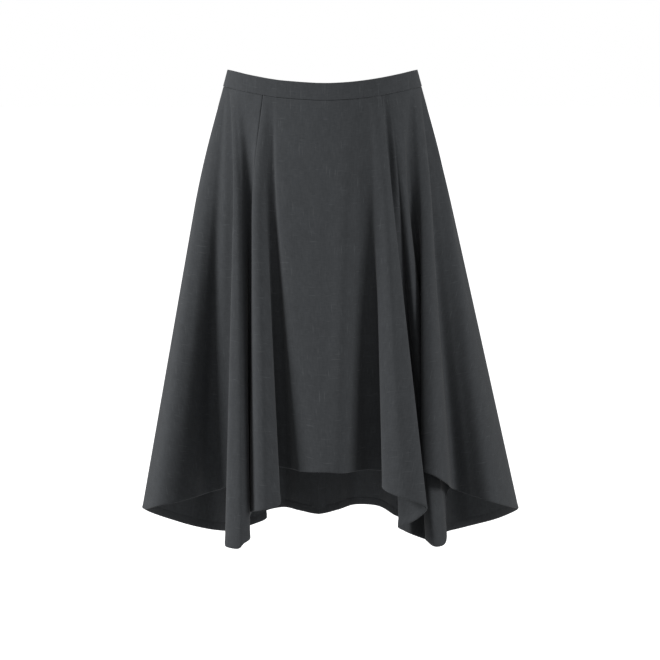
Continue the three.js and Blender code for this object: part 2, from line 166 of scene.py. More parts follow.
# Soft creases in the panels: the fold line each starts by, how far on towards the next one, where
# down the panel it starts and ends as shares of the length, how far it drifts to the next fold line
# by its end, how wide it is, and how far it goes inwards, in mm
Crease = namedtuple("Crease", "fold along top low drift wide deep")
CREASES = [
    Crease("left_rise", 0.60, -0.25, 1.20, 0.05, 11, 3.5),
    Crease("left_inner_crest", 0.25, -0.10, 1.30, 0, 8, -3.5),
    Crease("centre_front", 0.92, 0.02, 1.45, -0.20, 13, -5.0),
    Crease("right_inner_crest", 0.40, -0.20, 1.30, 0, 8, -3.5),
    Crease("front_left", 0.45, 0.02, 0.55, 0.10, 10, 0.4),
    Crease("front_left", 0.15, 0.30, 1.10, 0.10, 8, -0.4),
    Crease("left_side_crest", 0.50, 0.25, 0.85, 0.30, 10, 0.5),
    Crease("right_turnback", 0.20, -0.20, 0.50, 0, 5, 2.0),
    Crease("right_side_crest", 0.40, 0.15, 0.70, 0.30, 12, 0.6),
    Crease("back_right_slope", 0.40, 0.20, 0.80, 0.40, 12, 0.8),
    Crease("back_right_inner", 0.50, 0.10, 0.55, -0.30, 10, 0.7),
    Crease("back_left_dip", 0.40, 0.18, 0.70, -0.40, 11, 0.8),
    Crease("back_left_trough", 0.60, 0.22, 0.90, 0.40, 13, 0.7),
]


class SkirtSizes(bpy.types.PropertyGroup):
    """Sizes of the cloth and its making."""

    cloth_thick: FloatProperty(
        name="Cloth thickness", description="Thickness of one layer of suiting",
        default=1.2 * MM, unit="LENGTH")
    band_thick: FloatProperty(
        name="Band thickness", description="Thickness of the doubled waistband",
        default=2.0 * MM, unit="LENGTH")
    band_round: FloatProperty(
        name="Band edge rounding", description="Rounding of the waistband's folded edges",
        default=0.9 * MM, unit="LENGTH")
    hem_turn: FloatProperty(
        name="Hem turn-up", description="Height of the hem folded up inside",
        default=9 * MM, unit="LENGTH")
    allowance: FloatProperty(
        name="Seam allowance", description="Width of each seam allowance pressed open inside",
        default=10 * MM, unit="LENGTH")
    pressed_thick: FloatProperty(
        name="Pressed thickness", description="Thickness of a pressed allowance or zip tape",
        default=0.35 * MM, unit="LENGTH")
    tape_wide: FloatProperty(
        name="Zip tape width", description="Width of each half of the zip's tape",
        default=12 * MM, unit="LENGTH")
    zip_long: FloatProperty(
        name="Zip length", description="Length of the zip's tape from the top of the band",
        default=200 * MM, unit="LENGTH")
    tooth_pitch: FloatProperty(
        name="Zip tooth pitch", description="Distance between teeth of one side of the zip",
        default=1.6 * MM, unit="LENGTH")
    sample: FloatProperty(
        name="Mesh spacing", description="Distance between mesh columns along the hem",
        default=3.2 * MM, unit="LENGTH")
    rows: IntProperty(
        name="Mesh rows", description="Mesh rows from waist seam to hem", default=110)


class SkirtLooks(bpy.types.PropertyGroup):
    """Colours of the cloth and the zip."""

    cloth: FloatVectorProperty(
        name="Cloth", description="Charcoal of the suiting", subtype="COLOR", size=3,
        default=(0.052, 0.0558, 0.0602))
    fleck: FloatVectorProperty(
        name="Fleck", description="Lighter fibres in the yarn", subtype="COLOR", size=3,
        default=(0.070, 0.075, 0.080))
    enamel: FloatVectorProperty(
        name="Zip enamel", description="Enamel of the zip slider and pull", subtype="COLOR",
        size=3, default=(0.030, 0.031, 0.034))


def top_height(degrees):
    """Height of the band's top edge, level at the sides and dipping front and back."""
    s = np.sin(np.radians(degrees))
    dip = np.where(s < 0, FRONT_DIP, BACK_DIP)
    return -dip * np.abs(s) ** DIP_POWER


def oval(degrees, drop):
    """Plan places on the body's oval at a drop below the top edge."""
    a = np.radians(degrees)
    share = drop / HIP_DROP
    wide = WAIST_HALF_WIDE + (HIP_HALF_WIDE - WAIST_HALF_WIDE) * share
    deep = WAIST_HALF_DEEP + (HIP_HALF_DEEP - WAIST_HALF_DEEP) * share
    return np.stack([wide * np.cos(a), deep * np.sin(a)], -1)


def soft_ramp(x, half):
    """0, then a line of slope 1, rounded between."""
    return np.where(x <= -half, 0, np.where(x >= half, x, (x + half) ** 2 / (4 * half)))


TOP = top_height(WAIST)
LONG = TOP - HEM[:, 2]
PANEL_TOP = BAND_HIGH + SEAM_GAP
PANEL_LONG = LONG.mean() - PANEL_TOP


def band_level(drop):
    """One point on each fold line within the band."""
    drop = np.full(len(FOLDS), float(drop))
    return np.column_stack([oval(WAIST, drop), TOP - drop])


def panel_level(share):
    """One point on each fold line, from the waist seam at 0 to the hem at 1."""
    drop = PANEL_TOP + (LONG - PANEL_TOP) * share
    start = oval(WAIST, PANEL_TOP)
    hip = oval(HIP, HIP_DROP)
    hip = hip * (1 + OUT / np.linalg.norm(hip, axis=1))[:, None]
    upper = (hip - start) / (HIP_DROP - PANEL_TOP)
    lower = (HEM[:, :2] - hip) / (LONG - HIP_DROP)[:, None]
    bend = soft_ramp(drop - HIP_DROP, HIP_ROUNDING)
    plan = start + upper * (drop - PANEL_TOP)[:, None] + (lower - upper) * bend[:, None]
    return np.column_stack([plan, TOP - drop])


def level_at(drop):
    """One point on each fold line at a drop from the top edge in mm, on the band or the panels."""
    if drop <= PANEL_TOP:
        return band_level(drop)
    return panel_level((drop - PANEL_TOP) / PANEL_LONG)


def smooth_ring(points, at):
    """Places on a smooth closed curve through the fold points, at fractional fold numbers."""
    n = len(points)
    i = np.floor(at).astype(int)
    share = (at - i)[:, None]
    p = [points[(i + k) % n] for k in (-1, 0, 1, 2)]
    steps = [np.sqrt(np.linalg.norm(p[k + 1] - p[k], axis=1))[:, None] for k in range(3)]
    t1 = steps[0]
    t2 = t1 + steps[1]
    t3 = t2 + steps[2]
    t = t1 + steps[1] * share

    def mix(a, b, ta, tb):
        return a + (b - a) * (t - ta) / (tb - ta)

    a1 = mix(p[0], p[1], 0, t1)
    a2 = mix(p[1], p[2], t1, t2)
    a3 = mix(p[2], p[3], t2, t3)
    return mix(mix(a1, a2, 0, t2), mix(a2, a3, t1, t3), t1, t2)


def distances(line):
    """Distance of each place from the first, along a line of places."""
    return np.concatenate([[0], np.cumsum(np.linalg.norm(np.diff(line, axis=0), axis=1))])


def unit(v):
    """Directions of length 1."""
    return v / np.linalg.norm(v, axis=-1, keepdims=True)


# How finely a piece is measured between two fold lines, and its fewest columns
STEPS_PER_FOLD = 40
FEWEST_COLUMNS = 8

# Distances of the mesh columns from a seam, in mm, close together where the cloth turns in
SEAM_EDGES = np.array([0, 0.3, 0.7, 1.2, 1.9, 3.0, 5.0])


def columns(piece, spacing):
    """Fractional fold numbers across a piece, evenly along the hem and finer beside its seams."""
    first = PLACE[piece.first]
    last = PLACE[piece.last]
    if last <= first:
        last += len(FOLDS)
    fine = np.linspace(first, last, (last - first) * STEPS_PER_FOLD + 1)
    long = distances(smooth_ring(HEM, fine))
    count = max(FEWEST_COLUMNS, int(round(long[-1] / spacing)))
    even = np.linspace(0, long[-1], count + 1)
    clear = SEAM_EDGES[-1] + spacing / 2
    inner = even[(even > clear) & (even < long[-1] - clear)]
    marks = np.concatenate([SEAM_EDGES, inner, long[-1] - SEAM_EDGES[::-1]])
    return np.interp(marks, long, fine)


# How far past a piece its neighbours' creases are looked for, in folds, and how finely, and how
# gently a crease starts and ends along its length
CREASE_REACH = 6
CREASE_STEPS = 900
CREASE_RISE = 1.5


def crease_depth(share, at):
    """How far the listed creases push the cloth inwards, at fold numbers on one level."""
    dense = np.linspace(at[0] - CREASE_REACH, at[-1] + CREASE_REACH, CREASE_STEPS)
    run = distances(smooth_ring(panel_level(share), dense))
    here = np.interp(at, dense, run)
    gone = np.zeros(len(at))
    for crease in CREASES:
        if not crease.top < share < crease.low:
            continue
        along = (share - crease.top) / (crease.low - crease.top)
        for turn in (-len(FOLDS), 0, len(FOLDS)):
            middle = PLACE[crease.fold] + crease.along + crease.drift * along + turn
            if dense[0] < middle < dense[-1]:
                away = here - np.interp(middle, dense, run)
                deep = crease.deep * math.sin(math.pi * along) ** CREASE_RISE
                gone += deep * np.exp(-(away / crease.wide) ** 2)
    return gone


# How far aside a neighbour is taken, in folds, and up and down, as a share of a panel or in mm on the band
NEXT_ASIDE = 0.03
NEXT_LEVEL = 0.004


def outward(level_of, level, at, top, end):
    """Outward directions at one level between the top and the end, from neighbours on the surface."""
    here = level_of(level)
    along = smooth_ring(here, at + NEXT_ASIDE) - smooth_ring(here, at - NEXT_ASIDE)
    above = level_of(max(top, level - NEXT_LEVEL))
    below = level_of(min(end, level + NEXT_LEVEL))
    return unit(np.cross(smooth_ring(below, at) - smooth_ring(above, at), along))


# How far the cloth turns in at a pressed seam and at the waist seam, over what reach, in mm
SEAM_DIP = 1.2
SEAM_SOFT = 0.8
SEAM_PRESS = 0.25
SEAM_PRESS_SOFT = 4.5
WAIST_DIP = 0.95
WAIST_SOFT = 0.55
WAIST_EDGES = np.array([0.5, 1.0, 2.2])

# The panel's top inside the band: how far up, and how far inwards, in mm
Tuck = namedtuple("Tuck", "high inwards")
TUCKED_UP = (Tuck(4.0, 0.2), Tuck(1.2, 0.6))

# The hem: its swelling, the radius it turns round, its turn-up's rows, and how flat it is pressed at
# its top, in mm, with the steps of the bend in degrees and the pressed edge as a share of the thickness
HEM_SWELL = 0.35
HEM_SWELL_HIGH = 3.5
HEM_RADIUS = 0.75
HEM_BEND = (25, 60, 95, 130, 160)
HEM_TURN_ROWS = 6
HEM_PRESS = 0.78
PRESSED_SHARE = 0.15


def seam_dip(away):
    """How far the cloth turns in at a pressed seam, by distance from the seam."""
    roll = SEAM_DIP * np.exp(-(away / SEAM_SOFT) ** 2)
    return roll + SEAM_PRESS * np.exp(-(away / SEAM_PRESS_SOFT) ** 2)


def wall_dip(share, at, line):
    """How far a panel's wall lies inside its smooth form: at seams, in creases, less the hem's swell."""
    run = distances(line)
    dip = seam_dip(np.minimum(run, run[-1] - run))
    dip = np.maximum(dip, WAIST_DIP * math.exp(-(share * PANEL_LONG / WAIST_SOFT) ** 2))
    swell = HEM_SWELL * math.exp(-((1 - share) * PANEL_LONG / HEM_SWELL_HIGH) ** 2)
    return dip + crease_depth(share, at) - swell


def panel_grid(piece, sizes):
    """Middle surface of a panel with its hem turned up inside, rows from the top, in mm."""
    at = columns(piece, sizes.sample / MM)
    rows = []
    for tuck in TUCKED_UP:
        drop = BAND_HIGH - tuck.high
        out = outward(band_level, drop, at, 0, BAND_HIGH)
        rows.append(smooth_ring(band_level(drop), at) - out * tuck.inwards)
    for share in np.sort(np.append(np.linspace(0, 1, sizes.rows + 1), WAIST_EDGES / PANEL_LONG)):
        line = smooth_ring(panel_level(share), at)
        out = outward(panel_level, share, at, 0, 1)
        rows.append(line - out * wall_dip(share, at, line)[:, None])
    hem = rows[-1]
    up = unit(rows[-2] - rows[-1])
    for turn in HEM_BEND:
        a = math.radians(turn)
        rows.append(hem - out * (HEM_RADIUS * (1 - math.cos(a))) - up * (HEM_RADIUS * math.sin(a)))
    for k in range(1, HEM_TURN_ROWS + 1):
        share = 1 - sizes.hem_turn / MM * k / HEM_TURN_ROWS / PANEL_LONG
        line = smooth_ring(panel_level(share), at)
        inwards = wall_dip(share, at, line) + 2 * HEM_RADIUS - HEM_PRESS * k / HEM_TURN_ROWS
        rows.append(line - outward(panel_level, share, at, 0, 1) * inwards[:, None])
    return np.array(rows)


# The band's mesh, and how far it stands out from its smooth form and dips at its seams, in mm
BAND_SPACING = 9
BAND_TOP = 0.6
BAND_ROWS = 12
BAND_PROUD = 0.1
BAND_DIP = 0.7
BAND_ROUND_SEGMENTS = 4


def band_grid(piece):
    """Middle surface of a stretch of the waistband, rows from the top edge, in mm."""
    at = columns(piece, BAND_SPACING)
    rows = []
    for drop in np.linspace(BAND_TOP, BAND_HIGH, BAND_ROWS):
        line = smooth_ring(band_level(drop), at)
        out = outward(band_level, drop, at, 0, BAND_HIGH)
        run = distances(line)
        from_side = np.minimum(run, run[-1] - run)
        proud = BAND_PROUD - BAND_DIP * np.exp(-(from_side / SEAM_SOFT) ** 2)
        rows.append(line + out * proud[:, None])
    return np.array(rows)


# Strips inside the seams: places across them, how far they clear the wall, and where they end, in mm
ALLOWANCE_EDGES = np.array([0, 0.4, 1.0, 2.0, 4.0, 7.0])
ALLOWANCE_CLEAR = 0.24
ALLOWANCE_ROWS = 90
ALLOWANCE_TOP = 1
ALLOWANCE_END = 3
TAPE_EDGES = (0.3, 0.9, 1.8, 3.2, 6, 9)
ZIP_ROWS = 60
ZIP_TOP = 3
ZIP_CLEAR = 0.7
ROLL_SOFT = 1.4

# How far beside a seam its strips are measured, in folds, and how finely
STRIP_REACH = 9
STRIP_STEPS = 721
STRIP_NEXT_ASIDE = 0.02

# How far up and down a neighbour is taken, and the least drop where that stays on the band, in mm
STRIP_NEXT_DROP = 1.5
STRIP_LEAST_DROP = 2


def beside_seam(fold, drop, away, clear):
    """Places inside a seam at a drop, at distances either way from it along the cloth, in mm."""
    level = level_at(drop)
    dense = PLACE[fold] + np.linspace(-STRIP_REACH, STRIP_REACH, STRIP_STEPS)
    run = distances(smooth_ring(level, dense))
    at = np.interp(away, run - run[len(run) // 2], dense)
    along = smooth_ring(level, at + STRIP_NEXT_ASIDE) - smooth_ring(level, at - STRIP_NEXT_ASIDE)
    low = max(drop, STRIP_LEAST_DROP)
    below = smooth_ring(level_at(low + STRIP_NEXT_DROP), at)
    down = below - smooth_ring(level_at(low - STRIP_NEXT_DROP), at)
    inwards = clear + SEAM_PRESS * np.exp(-(away / SEAM_PRESS_SOFT) ** 2)
    inwards = inwards + SEAM_DIP * np.exp(-(away / ROLL_SOFT) ** 2)
    if drop > PANEL_TOP:
        inwards = inwards + crease_depth((drop - PANEL_TOP) / PANEL_LONG, at)
    return smooth_ring(level, at) - unit(np.cross(down, along)) * inwards[:, None], unit(along)


def inside_strip(fold, away, first, last, rows, clear):
    """Middle surface of a strip lying inside a seam between two drops, rows from the top, in mm."""
    drops = np.linspace(first, last, rows)
    return np.array([beside_seam(fold, drop, away, clear)[0] for drop in drops])


def add_sheet(name, rows, thick, node=None, pressed=0):
    """A sheet of cloth through a grid of places in mm, with its flat lengths as its UV map.

    Over the last rows it can thin out to a pressed edge."""
    high, wide = rows.shape[:2]
    mesh = bpy.data.meshes.new(name)
    sheet = bpy.data.objects.new(name, mesh)
    bpy.context.scene.collection.objects.link(sheet)
    bm = bmesh.new()
    bmesh.ops.create_grid(bm, x_segments=wide - 1, y_segments=high - 1, size=0.5)
    bm.verts.ensure_lookup_table()
    across = np.linalg.norm(np.diff(rows, axis=1), axis=2)
    run = np.concatenate([np.zeros((high, 1)), np.cumsum(across, axis=1)], axis=1)
    run -= run[:, -1:] / 2
    down = np.linalg.norm(np.diff(rows, axis=0), axis=2)
    fall = np.concatenate([np.zeros((1, wide)), np.cumsum(down, axis=0)], axis=0)
    flat = {}
    in_row = [[] for _ in range(high)]
    for v in bm.verts:
        k = round((v.co.x + 0.5) * (wide - 1))
        r = round((0.5 - v.co.y) * (high - 1))
        flat[v.index] = (run[r, k] * MM, -fall[r, k] * MM)
        v.co = Vector(rows[r, k] * MM)
        in_row[r].append(v.index)
    layer = bm.loops.layers.uv.new("flat")
    for face in bm.faces:
        face.smooth = True
        for loop in face.loops:
            loop[layer].uv = flat[loop.vert.index]
    for edge in bm.edges:
        edge.smooth = not edge.is_boundary
    bm.to_mesh(mesh)
    bm.free()
    shell = sheet.modifiers.new("cloth thickness", "SOLIDIFY")
    shell.thickness = thick
    shell.offset = 0
    if pressed:
        group = sheet.vertex_groups.new(name="full thickness")
        for r, places in enumerate(in_row):
            group.add(places, min(1, (high - 1 - r) / pressed), "REPLACE")
        shell.vertex_group = "full thickness"
        shell.thickness_vertex_group = PRESSED_SHARE
    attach(sheet, "skirt")
    if node:
        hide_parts(node)
    return sheet


# The zip's teeth: where their row starts and ends on the tape, how far each lies from the middle and
# inside the tape, their sizes across, through and down, and the stop below them, in mm
TEETH_TOP = 30
TEETH_END = 12
TOOTH_ASIDE = 0.9
TOOTH_SUNK = 0.6
TOOTH_SIZE = (2.4, 1.1, 0.8)
TOOTH_ROUND = 0.18
STOP_SIZE = (4.2, 1.8, 3.0)
STOP_BELOW = 1


def add_block(bm, place, along, size):
    """A small block at a place in mm, its length along the cloth and its depth out of it."""
    turn = math.atan2(along[1], along[0])
    where = Matrix.Translation(Vector(place * MM)) @ Matrix.Rotation(turn, 4, "Z")
    grow = Matrix.Diagonal((size[0] * MM, size[1] * MM, size[2] * MM, 1))
    bmesh.ops.create_cube(bm, size=1, matrix=where @ grow)


def link(tree, a, b):
    """Join an output to an input."""
    tree.links.new(a, b)


def math_node(tree, kind, a, b=None):
    """The result of a sum on numbers or sockets."""
    node = tree.nodes.new("ShaderNodeMath")
    node.operation = kind
    for socket, value in zip(node.inputs, (a, b)):
        if value is None:
            continue
        if isinstance(value, (int, float)):
            socket.default_value = value
        else:
            link(tree, value, socket)
    return node.outputs[0]


# Unevenness: how it is squeezed across, down and through the cloth, and its scale per metre
Uneven = namedtuple("Uneven", "squeeze scale detail")
WARP_STREAK = Uneven((1, 0.22, 1), 420, 3)
WEFT_STREAK = Uneven((0.3, 1, 1), 480, 2)
WARP_SLUB = Uneven((1, 0.09, 1), 420, 1)
WEFT_SLUB = Uneven((0.11, 1, 1), 460, 1)
CLOUDS = Uneven((1, 0.6, 1), 70, 3)
NYLON = Uneven((1, 1, 1), 900, 2)

# The weave's twill pitch in metres, and the shares of its parts
TWILL_PITCH = 0.0009
TWILL_HEIGHT = 0.35
YARN_HEIGHT = 0.15
MIDDLE_HEIGHT = 0.5
WARP_SHARE = 0.55
WEFT_SHARE = 0.45


def noise(tree, vector, uneven):
    """Noise over flat lengths or places, drawn out along one direction."""
    pull = tree.nodes.new("ShaderNodeVectorMath")
    pull.operation = "MULTIPLY"
    pull.inputs[1].default_value = uneven.squeeze
    link(tree, vector, pull.inputs[0])
    node = tree.nodes.new("ShaderNodeTexNoise")
    node.inputs["Scale"].default_value = uneven.scale
    node.inputs["Detail"].default_value = uneven.detail
    link(tree, pull.outputs[0], node.inputs["Vector"])
    return node.outputs["Fac"]


def suiting_group():
    """Twill lines, streaky yarn, sparse slubs and mottling, from flat lengths in metres."""
    group = bpy.data.node_groups.new("suiting weave", "ShaderNodeTree")
    face = group.interface
    face.new_socket("Flat", in_out="INPUT", socket_type="NodeSocketVector")
    socket = face.new_socket("Twill pitch", in_out="INPUT", socket_type="NodeSocketFloat")
    socket.default_value = TWILL_PITCH
    for name in ("Height", "Streak", "Slub", "Cloudy"):
        face.new_socket(name, in_out="OUTPUT", socket_type="NodeSocketFloat")
    take = group.nodes.new("NodeGroupInput")
    give = group.nodes.new("NodeGroupOutput")
    flat = take.outputs["Flat"]
    split = group.nodes.new("ShaderNodeSeparateXYZ")
    link(group, flat, split.inputs[0])
    across = math_node(group, "DIVIDE", split.outputs[0], take.outputs["Twill pitch"])
    down = math_node(group, "DIVIDE", split.outputs[1], take.outputs["Twill pitch"])
    diagonal = math_node(group, "ADD", across, down)
    twill = math_node(group, "SINE", math_node(group, "MULTIPLY", diagonal, 2 * math.pi))
    yarn = math_node(group, "SINE", math_node(group, "MULTIPLY", across, 4 * math.pi))
    twill = math_node(group, "MULTIPLY", twill, TWILL_HEIGHT)
    yarn = math_node(group, "MULTIPLY", yarn, YARN_HEIGHT)
    height = math_node(group, "ADD", math_node(group, "ADD", twill, yarn), MIDDLE_HEIGHT)
    link(group, height, give.inputs["Height"])
    warp = math_node(group, "MULTIPLY", noise(group, flat, WARP_STREAK), WARP_SHARE)
    weft = math_node(group, "MULTIPLY", noise(group, flat, WEFT_STREAK), WEFT_SHARE)
    link(group, math_node(group, "ADD", warp, weft), give.inputs["Streak"])
    slub = math_node(group, "MAXIMUM", noise(group, flat, WARP_SLUB), noise(group, flat, WEFT_SLUB))
    link(group, slub, give.inputs["Slub"])
    link(group, noise(group, flat, CLOUDS), give.inputs["Cloudy"])
    return group


# Between which values of a mask a colour changes, and how dark and how light it makes the colour
Shades = namedtuple("Shades", "first last dark light")
SLUBS = (0.665, 0.76)
STREAKS = Shades(0.34, 0.66, 0.89, 1.10)
CLOUDINESS = Shades(0.3, 0.7, 0.94, 1.05)
ENAMEL_SHADES = Shades(0.35, 0.7, 0.85, 1.25)
TAPE_SHADES = Shades(0.2, 0.8, 0.62, 0.86)
NYLON_SHADES = Shades(0.3, 0.7, 0.55, 0.8)
PLAIN = (1, 1, 1)

# How high weave and ribs stand out, in metres, and how rough the enamel is at least and where worn
RAISED = 0.0002
LEAST_ROUGH = 0.28
WORN_ROUGHER = 0.3


def ramp(tree, value, ends, colours):
    """A change from one colour to another between two values."""
    node = tree.nodes.new("ShaderNodeValToRGB")
    for element, place, colour in zip(node.color_ramp.elements, ends, colours):
        element.position = place
        element.color = (*colour, 1)
    link(tree, value, node.inputs[0])
    return node.outputs[0]


def shaded(tree, value, colour, shades):
    """A colour that goes from dark to light between two values."""
    dark = tuple(c * shades.dark for c in colour)
    light = tuple(c * shades.light for c in colour)
    return ramp(tree, value, (shades.first, shades.last), (dark, light))


def multiply(tree, a, b):
    """One colour multiplied by another."""
    mix = tree.nodes.new("ShaderNodeMix")
    mix.data_type = "RGBA"
    mix.blend_type = "MULTIPLY"
    mix.inputs["Factor"].default_value = 1
    link(tree, a, mix.inputs["A"])
    link(tree, b, mix.inputs["B"])
    return mix.outputs["Result"]


def new_material(name):
    """A material with its node tree and its shader."""
    material = bpy.data.materials.new(name)
    material.use_nodes = True
    return material, material.node_tree, material.node_tree.nodes["Principled BSDF"]


def flat_lengths(tree):
    """The cloth's flat lengths, from its UV map."""
    uv = tree.nodes.new("ShaderNodeUVMap")
    uv.uv_map = "flat"
    return uv.outputs[0]


def raise_surface(tree, shader, height, strength):
    """Raise the surface a little with a height."""
    bump = tree.nodes.new("ShaderNodeBump")
    bump.inputs["Strength"].default_value = strength
    bump.inputs["Distance"].default_value = RAISED
    link(tree, height, bump.inputs["Height"])
    link(tree, bump.outputs[0], shader.inputs["Normal"])


def suiting_material(looks, group):
    """Matt charcoal suiting with a fine twill, flecked yarn and a faint nap."""
    material, tree, shader = new_material("charcoal suiting")
    weave = tree.nodes.new("ShaderNodeGroup")
    weave.node_tree = group
    link(tree, flat_lengths(tree), weave.inputs["Flat"])
    slub = ramp(tree, weave.outputs["Slub"], SLUBS, (looks.cloth, looks.fleck))
    streak = shaded(tree, weave.outputs["Streak"], PLAIN, STREAKS)
    cloud = shaded(tree, weave.outputs["Cloudy"], PLAIN, CLOUDINESS)
    link(tree, multiply(tree, multiply(tree, slub, streak), cloud), shader.inputs["Base Color"])
    shader.inputs["Roughness"].default_value = 0.92
    shader.inputs["Specular IOR Level"].default_value = 0.25
    shader.inputs["Sheen Weight"].default_value = 0.12
    shader.inputs["Sheen Roughness"].default_value = 0.4
    raise_surface(tree, shader, weave.outputs["Height"], 0.25)
    return material


def enamel_material(looks):
    """Dyed enamel on the zip's metal, slightly worn."""
    material, tree, shader = new_material("zip enamel")
    place = tree.nodes.new("ShaderNodeTexCoord")
    wear = tree.nodes.new("ShaderNodeTexNoise")
    wear.inputs["Scale"].default_value = 1400
    wear.inputs["Detail"].default_value = 3
    link(tree, place.outputs["Object"], wear.inputs["Vector"])
    colour = shaded(tree, wear.outputs["Fac"], looks.enamel, ENAMEL_SHADES)
    link(tree, colour, shader.inputs["Base Color"])
    rough = math_node(tree, "MULTIPLY", wear.outputs["Fac"], WORN_ROUGHER)
    link(tree, math_node(tree, "ADD", rough, LEAST_ROUGH), shader.inputs["Roughness"])
    shader.inputs["Metallic"].default_value = 0.5
    return material


def tape_material(looks):
    """Closely woven zip tape with herringbone ribs."""
    material, tree, shader = new_material("zip tape")
    rib = tree.nodes.new("ShaderNodeTexWave")
    rib.wave_type = "BANDS"
    rib.bands_direction = "DIAGONAL"
    rib.inputs["Scale"].default_value = 220
    rib.inputs["Distortion"].default_value = 0.6
    link(tree, flat_lengths(tree), rib.inputs["Vector"])
    link(tree, shaded(tree, rib.outputs["Fac"], looks.cloth, TAPE_SHADES), shader.inputs["Base Color"])
    shader.inputs["Roughness"].default_value = 0.85
    raise_surface(tree, shader, rib.outputs["Fac"], 0.3)
    return material


def coil_material(looks):
    """Dyed nylon of the zip's teeth."""
    material, tree, shader = new_material("zip nylon")
    place = tree.nodes.new("ShaderNodeTexCoord")
    mottle = noise(tree, place.outputs["Object"], NYLON)
    link(tree, shaded(tree, mottle, looks.cloth, NYLON_SHADES), shader.inputs["Base Color"])
    shader.inputs["Roughness"].default_value = 0.38
    return material


class SKIRT_OT_panels(bpy.types.Operator):
    """Make the five flared panels with their folds, seams and turned-up hems"""

    bl_idname = "skirt.panels"
    bl_label = "Make panels"

    def execute(self, context):
        sizes = context.scene.skirt_sizes
        for piece in PANELS:
            rows = panel_grid(piece, sizes)
            add_sheet(piece.node + "_cloth", rows, sizes.cloth_thick, piece.node, HEM_TURN_ROWS)
        return {"FINISHED"}


class SKIRT_OT_waistband(bpy.types.Operator):
    """Make the three stretches of the doubled waistband"""

    bl_idname = "skirt.waistband"
    bl_label = "Make waistband"

    def execute(self, context):
        sizes = context.scene.skirt_sizes
        for piece in BANDS:
            band = add_sheet(piece.node + "_cloth", band_grid(piece), sizes.band_thick, piece.node)
            edge = band.modifiers.new("pressed edge", "BEVEL")
            edge.width = sizes.band_round
            edge.segments = BAND_ROUND_SEGMENTS
        return {"FINISHED"}


class SKIRT_OT_seams(bpy.types.Operator):
    """Press the seam allowances open inside"""

    bl_idname = "skirt.seams"
    bl_label = "Press seams"

    def execute(self, context):
        sizes = context.scene.skirt_sizes
        wide = sizes.allowance / MM
        half = np.append(ALLOWANCE_EDGES, wide)
        away = np.concatenate([-half[:0:-1], half])
        clear = sizes.cloth_thick / MM / 2 + ALLOWANCE_CLEAR
        for fold in SEAMS:
            first = PANEL_TOP + ALLOWANCE_TOP
            if fold == "centre_back":
                first = sizes.zip_long / MM
            last = LONG.mean() - ALLOWANCE_END
            rows = inside_strip(fold, away, first, last, ALLOWANCE_ROWS, clear)
            add_sheet(fold + "_allowances", rows, sizes.pressed_thick)
        return {"FINISHED"}


class SKIRT_OT_zip(bpy.types.Operator):
    """Set the zip's tapes, teeth and bottom stop inside the centre back"""

    bl_idname = "skirt.zip"
    bl_label = "Set zip"

    def execute(self, context):
        sizes = context.scene.skirt_sizes
        long = sizes.zip_long / MM
        clear = sizes.cloth_thick / MM / 2 + ZIP_CLEAR
        for side, name in ((-1, "zip_tape_right"), (1, "zip_tape_left")):
            away = side * np.array([*TAPE_EDGES, sizes.tape_wide / MM])
            rows = inside_strip("centre_back", np.sort(away), ZIP_TOP, long, ZIP_ROWS, clear)
            add_sheet(name, rows, sizes.pressed_thick)
        mesh = bpy.data.meshes.new("zip_teeth")
        teeth = bpy.data.objects.new("zip_teeth", mesh)
        context.scene.collection.objects.link(teeth)
        bm = bmesh.new()
        pitch = sizes.tooth_pitch / MM
        count = int((long - TEETH_TOP - TEETH_END) / pitch)
        for k in range(2 * count):
            side = 1 if k % 2 else -1
            drop = TEETH_TOP + k * pitch / 2
            away = np.array([side * TOOTH_ASIDE])
            place, along = beside_seam("centre_back", drop, away, clear + TOOTH_SUNK)
            add_block(bm, place[0], along[0], TOOTH_SIZE)
        drop = long - TEETH_END + STOP_BELOW
        place, along = beside_seam("centre_back", drop, np.zeros(1), clear + TOOTH_SUNK)
        add_block(bm, place[0], along[0], STOP_SIZE)
        bmesh.ops.bevel(bm, geom=list(bm.edges), offset=TOOTH_ROUND * MM, segments=1, profile=0.5,
                        affect="EDGES", material=-1)
        for face in bm.faces:
            face.smooth = True
        bm.to_mesh(mesh)
        bm.free()
        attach(teeth, "skirt")
        return {"FINISHED"}


class SKIRT_OT_finishes(bpy.types.Operator):
    """Give the cloth and the zip their finishes"""

    bl_idname = "skirt.finishes"
    bl_label = "Apply finishes"

    def execute(self, context):
        looks = context.scene.skirt_looks
        cloth = suiting_material(looks, suiting_group())
        enamel = enamel_material(looks)
        tape = tape_material(looks)
        coil = coil_material(looks)
        names = [piece.node + "_cloth" for piece in PANELS + BANDS]
        names += [fold + "_allowances" for fold in SEAMS]
        for name in names:
            bpy.data.objects[name].data.materials.append(cloth)
        for name in ("zip_tape_left", "zip_tape_right"):
            bpy.data.objects[name].data.materials.append(tape)
        bpy.data.objects["zip_teeth"].data.materials.append(coil)
        for name in ("zip_slider", "zip_pull"):
            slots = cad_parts[name].material_slots
            if not slots:
                raise RuntimeError(f"{name} has no material slot")
            for slot in slots:
                slot.material = enamel
        return {"FINISHED"}


# The studio: room light as a share of the white backdrop, and square lights aimed at the skirt,
# in metres and watts
ROOM_LIGHT = 0.30
FLOOR_GLOW = 0.95
LIT_PLACE = (0, 0, -0.33)
Light = namedtuple("Light", "name place size watts")
LIGHTS = [
    Light("key light", (-3.24, -0.85, 1.0), 1.2, 117),
    Light("fill light", (2.95, -1.75, 0.7), 1.2, 58),
    Light("floor bounce", (0.01, 0.0, -1.0), 0.4, 0.7),
]
FLOOR_HEIGHT = -1.06
FLOOR_RADIUS = 60
FLOOR_SIDES = 64

